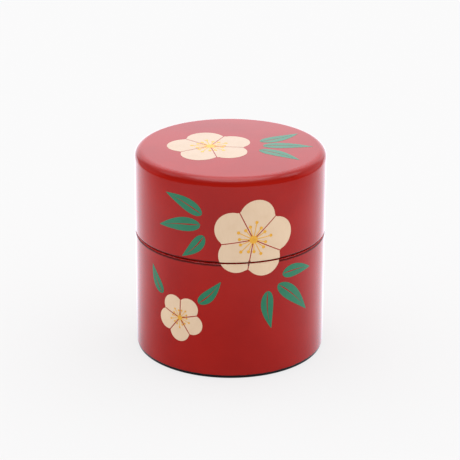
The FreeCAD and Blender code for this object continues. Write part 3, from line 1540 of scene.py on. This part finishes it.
RED = RubbedLacquer(
    name="vermilion_lacquer_rubbed", colour="9E170D", cloud="92120A", undercoat="1A0806",
    lines=(
        WearAndShadeRing(50.15 * MM, 50.8 * MM, 0.75),
        WearAndShadeRing(51.85 * MM, 52.15 * MM, 0.85),
        WearAndShadeRing(1.2 * MM, 1.4 * MM, 0.9),
        # A soft darker band round the lid's rim: painted shade, not wear
        WearAndShadeRing(85.6 * MM, 86.4 * MM, 0.14, 0.9 * MM),
    ),
)
BLACK = RubbedLacquer(
    name="black_lacquer_rubbed", colour="0B0A0A", cloud="120D0B", undercoat="2A150E",
)
BLACK_SATIN = TurnedLacquer(name="black_lacquer_wiped_on_turned_wood", colour="1B1816", worn="3A2C24")
CREAM = LacquerPaint(name="cream_lacquer_paint", colour="DAC0A3", thin="D2B595")
# The crown's cream is a darker copy of the wall's: painted shade that holds it down under the stronger light
# on the top
CROWN_CREAM_SHADED = LacquerPaint(name="cream_lacquer_paint_shaded_for_top_light", colour="C4AD96", thin="BBA187")
GREEN = LacquerPaint(name="green_lacquer_paint", colour="2A7557", thin="25684D")
GOLD = GoldPowder(name="gold_powder_on_lacquer", colour="E8AC34", gap="B67A1E")
BRASS = TurnedBrass(name="brass_turned", colour="E3C17A", tarnish="9A6F3A")
PAPER = SweepPaper(
    name="white_sweep_paper", colour="D3D2D3", fibre="D0CFD0", white="F7F7F7", mirrored="EDF1FE",
)


@dataclass
class Body:
    """The body: base, wall, neck and floor.

    Attributes:
        fit: the caddy's shared sizes.
        lathe: what turns its pieces.
        wall: thickness of the outer wall.
        wall_round: rounding of the wall's foot.
        flange: thickness of the base's flange, the black line under the wall.
        flange_inset: how far that line stands back from the wall.
        foot_ring: width of the ring that touches the table.
        foot_round: rounding of that ring's outside.
        recess: depth of the hollow inside that ring.
        neck_wall: thickness of the inner tube.
        neck_round: rounding of the neck's mouth.
    """

    fit: Fit
    lathe: Lathe
    wall: float = 3.0 * MM
    wall_round: float = 0.25 * MM
    flange: float = 1.2 * MM
    flange_inset: float = 0.3 * MM
    foot_ring: float = 5.5 * MM
    foot_round: float = 0.4 * MM
    recess: float = 0.6 * MM
    neck_wall: float = 1.6 * MM
    neck_round: float = 0.7 * MM

    NAME = "body"

    def build(self) -> None:
        """Builds and dresses every piece of the body."""
        settle(self._base(), self.NAME, ["base_disc"])
        settle(self._wall(), self.NAME, ["body_wall"])
        settle(self._neck(), self.NAME, ["neck_sleeve"])
        dress_node("floor_disc", BLACK_SATIN)

    def _base(self) -> Piece:
        """Turns the black base with its flange, plug and foot ring.

        Returns:
            The piece.
        """
        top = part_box("base_disc")[1].z
        outside = self.fit.radius - self.flange_inset
        inside = outside - self.foot_ring
        profile = rounded_profile([
            Corner(0.0, self.recess),
            Corner(inside, self.recess, WOOD_EDGE),
            Corner(inside, 0.0, WOOD_EDGE),
            Corner(outside, 0.0, self.foot_round),
            Corner(outside, self.flange, WOOD_EDGE),
            Corner(self.fit.neck_radius, self.flange),
            Corner(self.fit.neck_radius, top, WOOD_EDGE),
            Corner(0.0, top),
        ], closed=False)
        return self.lathe.turn("black_base", profile, Coats(BLACK, BLACK))

    def _wall(self) -> Piece:
        """Turns the red outer wall, with its rounded shoulder at the seam.

        Returns:
            The piece.
        """
        bore = self.fit.radius - self.wall
        profile = rounded_profile([
            Corner(bore, self.flange),
            Corner(self.fit.radius, self.flange, self.wall_round),
            Corner(self.fit.radius, self.fit.shoulder, self.fit.seam_round),
            Corner(bore, self.fit.shoulder, WOOD_EDGE),
        ], closed=True)
        coats = Coats(RED, BLACK_SATIN, bore + BORE_SLACK, self.fit.shoulder)
        return self.lathe.turn("red_body_wall", profile, coats, closed=True)

    def _neck(self) -> Piece:
        """Turns the black inner tube, whose upper end is the neck.

        Returns:
            The piece.
        """
        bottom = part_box("neck_sleeve")[0].z
        bore = self.fit.neck_radius - self.neck_wall
        profile = rounded_profile([
            Corner(bore, bottom, WOOD_EDGE),
            Corner(self.fit.neck_radius, bottom, WOOD_EDGE),
            Corner(self.fit.neck_radius, self.fit.neck_top, self.neck_round),
            Corner(bore, self.fit.neck_top, self.neck_round),
        ], closed=True)
        return self.lathe.turn("black_neck", profile, Coats(BLACK_SATIN, BLACK_SATIN), closed=True)


@dataclass
class OuterLid:
    """The outer lid: its shell and the sleeve inside it.

    Attributes:
        fit: the caddy's shared sizes.
        lathe: what turns its pieces.
        rim: rounding between wall and top.
        rise: how far the crown's middle stands above the rim.
        top_thickness: rim to ceiling.
        hollow_round: hollow corner under the ceiling.
        black_lip: width of the lip that the inner black coat covers.
        lead_in: slope inside the sleeve's mouth, which guides it on to the neck.
        crown_margin: the crown's last ring to the wall, in rim roundings.
    """

    fit: Fit
    lathe: Lathe
    rim: float = 3.6 * MM
    rise: float = 0.5 * MM
    top_thickness: float = 3.8 * MM
    hollow_round: float = 2.0 * MM
    black_lip: float = 0.45 * MM
    lead_in: float = 0.38 * MM
    crown_margin: float = 1.3

    NAME = "outer_lid"

    def build(self) -> None:
        """Builds and dresses both pieces of the lid."""
        settle(self._shell(), self.NAME, ["lid_shell"])
        settle(self._lining(), self.NAME, ["lid_lining"])

    def _shell(self) -> Piece:
        """Turns the red shell with its crowned top, black inside.

        Returns:
            The piece.
        """
        radius, lining = self.fit.radius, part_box("lid_lining")
        bore = lining[1].x + GLUE_LINE
        ceiling = self.fit.top - self.rise - self.top_thickness
        dome = crown(radius - self.crown_margin * self.rim, radius, self.rise, self.fit.top)
        slope = (dome[-1] - dome[-2]).normalized()
        rim_height = dome[-1].y + slope.y / slope.x * (radius - dome[-1].x)
        profile = dome[:-1] + rounded_profile([
            Corner(dome[-1].x, dome[-1].y),
            Corner(radius, rim_height, self.rim),
            Corner(radius, self.fit.lip, self.fit.seam_round),
            Corner(bore, self.fit.lip, WOOD_EDGE),
            Corner(bore, ceiling, self.hollow_round),
            Corner(0.0, ceiling),
        ], closed=False)
        coats = Coats(RED, BLACK_SATIN, bore + self.black_lip, ceiling + WOOD_EDGE)
        return self.lathe.turn("red_lid", profile, coats)

    def _lining(self) -> Piece:
        """Turns the black sleeve that runs on the neck.

        Returns:
            The piece.
        """
        low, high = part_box("lid_lining")
        bore = self.fit.neck_radius + PLAY
        profile = rounded_profile([
            Corner(bore + self.lead_in, low.z),
            Corner(high.x, low.z, WOOD_EDGE),
            Corner(high.x, high.z, WOOD_EDGE),
            Corner(bore, high.z, WOOD_EDGE),
            Corner(bore, low.z + self.lead_in),
        ], closed=True)
        return self.lathe.turn("black_lid_sleeve", profile, Coats(BLACK_SATIN, BLACK_SATIN), closed=True)


@dataclass
class InnerLid:
    """The inner lid: its dished disc with a skirt, its knob and the knob's screw.

    Attributes:
        fit: the caddy's shared sizes.
        lathe: what turns its pieces.
        thickness: of the disc.
        edge_round: rounding of the disc's upper edge.
        under_round: rounding of its lower edge.
        dish_margin: edge to the shallow dish.
        dish_depth: depth of that dish.
        dish_lip: rounding round the dish.
        dish_foot: rounding at the dish's floor.
        skirt_wall: thickness of the skirt.
        skirt_inset: mouth of the neck to the skirt, and the neck's wall, on the radius.
        skirt_root: rounding between skirt and disc.
        skirt_round: rounding of the skirt's mouth.
        foot_radius: foot of the knob.
        waist_radius: waist of the knob.
        head_edge: height of the knob's rounded edge.
        head_rise: how far the knob's crown stands above that edge.
        head_rings: rings on that crown.
    """

    fit: Fit
    lathe: Lathe
    thickness: float = 3.0 * MM
    edge_round: float = 0.9 * MM
    under_round: float = 0.3 * MM
    dish_margin: float = 6.0 * MM
    dish_depth: float = 0.6 * MM
    dish_lip: float = 0.25 * MM
    dish_foot: float = 0.3 * MM
    skirt_wall: float = 2.2 * MM
    skirt_inset: float = 1.85 * MM
    skirt_root: float = 1.2 * MM
    skirt_round: float = 0.4 * MM
    foot_radius: float = 4.8 * MM
    waist_radius: float = 3.5 * MM
    head_edge: float = 2.2 * MM
    head_rise: float = 0.7 * MM
    head_rings: int = 8

    NAME = "inner_lid"

    def build(self) -> None:
        """Builds and dresses every piece of the inner lid."""
        settle(self._disc(), self.NAME, ["inner_lid"])
        settle(self._knob(), self.NAME, ["inner_lid_knob"])
        dress_node("knob_screw", BRASS)

    def _disc(self) -> Piece:
        """Turns the black disc, dished on top, with a skirt that enters the neck.

        Returns:
            The piece.
        """
        low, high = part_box("inner_lid")
        under = high.z - self.thickness
        outside = self.fit.neck_radius - self.skirt_inset
        inside = outside - self.skirt_wall
        dish = high.x - self.dish_margin
        floor = high.z - self.dish_depth
        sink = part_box("knob_screw")[1].x + SCREW_PLAY
        profile = rounded_profile([
            Corner(sink, under),
            Corner(inside, under, self.skirt_root),
            Corner(inside, low.z, self.skirt_round),
            Corner(outside, low.z, self.skirt_round),
            Corner(outside, under),
            Corner(high.x, under, self.under_round),
            Corner(high.x, high.z, self.edge_round),
            Corner(dish, high.z, self.dish_lip),
            Corner(dish, floor, self.dish_foot),
            Corner(SCREW_BORE, floor),
            Corner(SCREW_BORE, under + sink - SCREW_BORE),
        ], closed=True)
        coats = Coats(BLACK, BLACK_SATIN, outside, under)
        return self.lathe.turn("black_inner_lid", profile, coats, closed=True)

    def _knob(self) -> Piece:
        """Turns the knob: a flared foot, a waist and a low crowned head.

        Returns:
            The piece.
        """
        low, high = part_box("inner_lid_knob")
        bore_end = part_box("knob_screw")[1].z + SCREW_PLAY
        half_edge = self.head_edge / 2
        crown_edge = high.x - half_edge
        edge_top = high.z - self.head_rise
        edge_bottom = edge_top - self.head_edge
        waist = (self.waist_radius, (low.z + edge_bottom) / 2)
        flare = arc_through((self.foot_radius, low.z), waist, (self.foot_radius, edge_bottom))
        edge_middle = (high.x, edge_top - half_edge)
        edge = arc_through((crown_edge, edge_bottom), edge_middle, (crown_edge, edge_top))
        dome = crown(crown_edge, crown_edge, self.head_rise, high.z, self.head_rings)
        bore = [Vector((0.0, bore_end)), Vector((SCREW_BORE, bore_end)), Vector((SCREW_BORE, low.z))]
        profile = [*bore, *flare, *edge, *reversed(dome[:-1])]
        return self.lathe.turn("black_knob", profile, Coats(BLACK, BLACK))


def dress_node(name: str, finish: Finish) -> None:
    """Gives a CAD node that stays on show its material.

    Args:
        name: the node's name.
        finish: its finish.
    """
    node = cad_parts[name]
    node.data.materials.clear()
    node.data.materials.append(finish.material())
    LOG.info("%s: CAD node dressed in %s", name, finish.name)


@dataclass
class PaintedDesign:
    """Plum blossoms and bamboo leaves, on the front across the seam and on the crown.

    The design's own coordinates are metres. On the wall they run round it from
    the middle of the front, and up. On the crown they are X and Y.

    Attributes:
        fit: the caddy's shared sizes.
        paint: thickness of the paint.
        gold_lift: height of the stamens' middle plane over the wall.
        lid_wrap: how far round the lid's lower edge the paint reaches, in degrees.
        body_wrap: the same round the body's shoulder.
        seed: seed of the first blossom's stamens, from which the others count on.
    """

    fit: Fit
    paint: float = 0.04 * MM
    gold_lift: float = 0.045 * MM
    lid_wrap: float = 35.0
    body_wrap: float = 53.0
    seed: int = 3

    WALL_BLOSSOMS = (
        Blossom((9.5 * MM, 61.5 * MM), 17.0 * MM, 8.0),
        Blossom((-21.5 * MM, 25.0 * MM), 10.5 * MM, -20.0),
    )
    CROWN_BLOSSOMS = (
        Blossom((-8.5 * MM, -1.0 * MM), 18.0 * MM, 30.0),
    )
    WALL_LEAVES = (
        Leaf((-11.5 * MM, 72.0 * MM), 158.0, 18.0 * MM, 5.6 * MM, -0.9 * MM),
        Leaf((-12.2 * MM, 67.4 * MM), 190.0, 20.0 * MM, 6.0 * MM, -0.7 * MM),
        Leaf((-10.6 * MM, 62.8 * MM), 226.0, 14.0 * MM, 5.2 * MM, 0.8 * MM),
        Leaf((22.5 * MM, 44.6 * MM), -4.0, 16.0 * MM, 5.6 * MM, 0.8 * MM),
        Leaf((20.5 * MM, 40.4 * MM), -44.0, 22.0 * MM, 6.4 * MM, 0.8 * MM),
        Leaf((15.8 * MM, 38.2 * MM), -84.0, 17.0 * MM, 5.6 * MM, -0.9 * MM),
        Leaf((-13.0 * MM, 33.0 * MM), 48.0, 14.0 * MM, 5.0 * MM, -0.7 * MM),
        Leaf((-30.6 * MM, 33.6 * MM), 118.0, 13.0 * MM, 4.8 * MM, 0.7 * MM),
    )
    CROWN_LEAVES = (
        Leaf((12.4 * MM, 5.0 * MM), 36.0, 20.0 * MM, 6.4 * MM, -0.8 * MM),
        Leaf((13.4 * MM, 0.0 * MM), 0.0, 21.0 * MM, 6.8 * MM, 0.7 * MM),
        Leaf((12.0 * MM, -5.0 * MM), -36.0, 20.0 * MM, 6.4 * MM, 0.8 * MM),
    )

    def build(self, lid: OuterLid) -> None:
        """Paints the whole design.

        Args:
            lid: the outer lid, whose crown and rim the top's design follows.
        """
        fit, bend = self.fit, self.fit.seam_round
        upper = WallGround(fit.radius, fit.lip + bend, bend, math.radians(self.lid_wrap), Side.LID)
        lower = WallGround(fit.radius, fit.shoulder - bend, bend, math.radians(self.body_wrap), Side.BODY)
        top = CrownGround(fit.radius, lid.rim, fit.top, lid.rise)
        self._paint("lid", OuterLid.NAME, upper, self.WALL_BLOSSOMS, self.WALL_LEAVES, CREAM)
        self._paint("body", Body.NAME, lower, self.WALL_BLOSSOMS, self.WALL_LEAVES, CREAM)
        self._paint("crown", OuterLid.NAME, top, self.CROWN_BLOSSOMS, self.CROWN_LEAVES, CROWN_CREAM_SHADED)
        stamens = StamenTree()
        places = (
            ("lid_stamens", self.WALL_BLOSSOMS[0], upper, OuterLid.NAME),
            ("body_stamens", self.WALL_BLOSSOMS[1], lower, Body.NAME),
            ("crown_stamens", self.CROWN_BLOSSOMS[0], top, OuterLid.NAME),
        )
        for seed, (name, blossom, ground, body) in enumerate(places, start=self.seed):
            settle(stamens.make(name, blossom, ground, self.gold_lift, GOLD, seed), body)

    def _paint(self, part: str, body: str, ground: Ground, blossoms: Sequence[Blossom],
               leaves: Sequence[Leaf], cream: LacquerPaint) -> None:
        """Paints the petals and leaves that lie on one surface.

        Args:
            part: what their names start with.
            body: the CAD body that they move with.
            ground: the surface.
            blossoms: the blossoms that may reach it.
            leaves: the leaves that may reach it.
            cream: the petals' paint.
        """
        petals = [outline for blossom in blossoms for outline in blossom.petals()]
        greens = [leaf.outline() for leaf in leaves]
        for kind, outlines, finish in (("_petals", petals, cream), ("_leaves", greens, GREEN)):
            film = PaintFilm(ground, self.paint)
            for outline in outlines:
                film.paint(outline)
            settle(film.piece(part + kind, finish), body)


# Studio

@dataclass(frozen=True)
class Glow:
    """A bright patch of the studio's surroundings.

    Attributes:
        azimuth: its compass angle in degrees, where 0 is the camera's side and
            90 the right.
        elevation: its height angle in degrees.
        full: angle from its middle that is fully bright, in degrees.
        fade: angle where it has faded out, in degrees.
        strength: its brightness, where 1 is white.
    """

    azimuth: float
    elevation: float
    full: float
    fade: float
    strength: float

    def direction(self) -> Vector:
        """Works out the direction to its middle.

        Returns:
            The unit vector.
        """
        turn, height = math.radians(self.azimuth), math.radians(self.elevation)
        level = math.cos(height)
        return Vector((math.sin(turn) * level, -math.cos(turn) * level, math.sin(height)))


@dataclass(frozen=True)
class Surroundings:
    """An even brightness all round, with bright patches in it.

    Attributes:
        even: the even brightness, where 1 is white.
        glows: the bright patches.
        colour: sRGB hex of the light.
    """

    even: float
    glows: tuple[Glow, ...] = ()
    colour: str = "FFFFFF"

    def shader(self, tree: NodeTree) -> Socket:
        """Builds them as a sum over directions.

        Args:
            tree: the world's tree.

        Returns:
            The background shader's socket.
        """
        direction = add(tree, "ShaderNodeTexCoord")["Generated"]
        level: Socket | float = self.even
        for glow in self.glows:
            facing = add(tree, "ShaderNodeVectorMath", (direction, glow.direction()), operation="DOT_PRODUCT")
            fade, full = math.cos(math.radians(glow.fade)), math.cos(math.radians(glow.full))
            span = (facing["Value"], fade, full, 0.0, glow.strength)
            patch = add(tree, "ShaderNodeMapRange", span, interpolation_type="SMOOTHSTEP")[0]
            level = add(tree, "ShaderNodeMath", (level, patch), operation="ADD")[0]
        return add(tree, "ShaderNodeBackground", (srgb(self.colour), level))[0]


@dataclass
class Studio:
    """Paper, surroundings and camera.

    Soft light falls on the caddy from all sides, as in a tent of white cloth.
    What its gloss mirrors is separate: a dark room with a lamp overhead, lamps
    at both sides and white cloth behind, so that the lid's rim has bright and
    dark bands.

    Attributes:
        light: the surroundings that light the caddy.
        mirrored: the surroundings that its gloss mirrors.
        seen: the surroundings as the camera sees them past the paper.
        focal_pixels: the camera's focal length in pixels of the picture.
        elevation: the camera's height angle, in degrees.
        distance: camera to target.
        target: the point that it looks at.
        roll: its small turn about its own axis, in degrees.
        side: reach of the paper to each side.
        front: where it starts, before the caddy.
        back: where it ends, behind the caddy.
    """

    light: Surroundings = Surroundings(0.81, (
        Glow(180.0, 75.0, 20.0, 70.0, 0.36),     # the tent's top, brighter to the back
        Glow(180.0, 40.0, 20.0, 60.0, 0.4),      # its back
        Glow(-104.0, 30.0, 20.0, 60.0, 0.9),     # its left side
        Glow(104.0, 30.0, 20.0, 60.0, 1.2),      # its right side, a little brighter
    ))
    mirrored: Surroundings = Surroundings(0.12, (
        Glow(180.0, 25.0, 32.0, 49.0, 1.5),      # the cloth behind
        Glow(180.0, 82.0, 11.0, 68.0, 2.9),      # the glow round the lamp overhead
        Glow(0.0, 85.0, 20.0, 34.0, 5.6),        # that lamp
        Glow(-91.0, 40.0, 4.0, 16.0, 1.6),       # the left lamp
        Glow(91.0, 40.0, 4.0, 16.0, 3.2),        # the right lamp
        Glow(-115.0, 13.0, 2.0, 37.0, 0.6),      # its light on the room, low at the left
        Glow(115.0, 13.0, 2.0, 37.0, 1.1),       # the same at the right
    ), "F0F2FC")
    seen: Surroundings = Surroundings(0.955)
    focal_pixels: float = 1814.0
    elevation: float = 21.66
    distance: float = 768 * MM
    target: tuple[float, float, float] = (-0.08 * MM, 0.0, 50.18 * MM)
    roll: float = 0.27
    side: float = 340 * MM
    front: float = -530 * MM
    back: float = 2000 * MM

    def build(self) -> None:
        """Builds the paper, the surroundings and the camera."""
        self._floor()
        self._surroundings()
        self._camera()
        bpy.context.scene.view_settings.view_transform = "Standard"

    def _floor(self) -> None:
        """A sheet of white paper at the caddy's foot, which widens to the back."""
        far_side = self.side + (self.back - PAPER.straight) * PAPER.spread
        outline = [
            (-self.side, self.front, 0), (self.side, self.front, 0), (self.side, PAPER.straight, 0),
            (far_side, self.back, 0), (-far_side, self.back, 0), (-self.side, PAPER.straight, 0),
        ]
        mesh = bpy.data.meshes.new("paper_floor")
        mesh.from_pydata(outline, [], [range(len(outline))])
        mesh.materials.append(PAPER.material())
        link_to_scene("paper_floor", mesh)
        LOG.info("paper_floor: stage")

    def _surroundings(self) -> None:
        """Joins the three surroundings into one world."""
        world = bpy.data.worlds.new("studio_surroundings")
        world.use_nodes = True
        tree = world.node_tree
        tree.nodes.clear()
        path = add(tree, "ShaderNodeLightPath")
        shader = self.light.shader(tree)
        for ray, other in (("Is Glossy Ray", self.mirrored), ("Is Camera Ray", self.seen)):
            shader = add(tree, "ShaderNodeMixShader", (path[ray], shader, other.shader(tree)))[0]
        add(tree, "ShaderNodeOutputWorld", {"Surface": shader})
        bpy.context.scene.world = world
        LOG.info("studio_surroundings: %d patches of light", len(self.light.glows))

    def _camera(self) -> None:
        """The camera, fitted to the caddy's outline."""
        data = bpy.data.cameras.new("camera")
        data.sensor_width = SENSOR_WIDTH
        data.lens = self.focal_pixels / PICTURE_WIDTH * SENSOR_WIDTH
        camera = bpy.data.objects.new("camera", data)
        bpy.context.scene.collection.objects.link(camera)
        height = math.radians(self.elevation)
        away = Vector((0.0, -math.cos(height), math.sin(height)))
        look = (-away).to_track_quat("-Z", "Y").to_matrix().to_4x4()
        roll = Matrix.Rotation(math.radians(self.roll), 4, "Z")
        camera.matrix_world = Matrix.Translation(Vector(self.target) + away * self.distance) @ look @ roll
        bpy.context.scene.camera = camera


def main() -> None:
    """Builds the caddy from the foot up, then its design and the studio."""
    logging.basicConfig(level=logging.INFO, format="%(name)s %(message)s")
    fit = Fit.of_frame()
    lathe = Lathe()
    lid = OuterLid(fit, lathe)
    Body(fit, lathe).build()
    InnerLid(fit, lathe).build()
    lid.build()
    PaintedDesign(fit).build(lid)
    Studio().build()


if __name__ == "__main__":
    main()
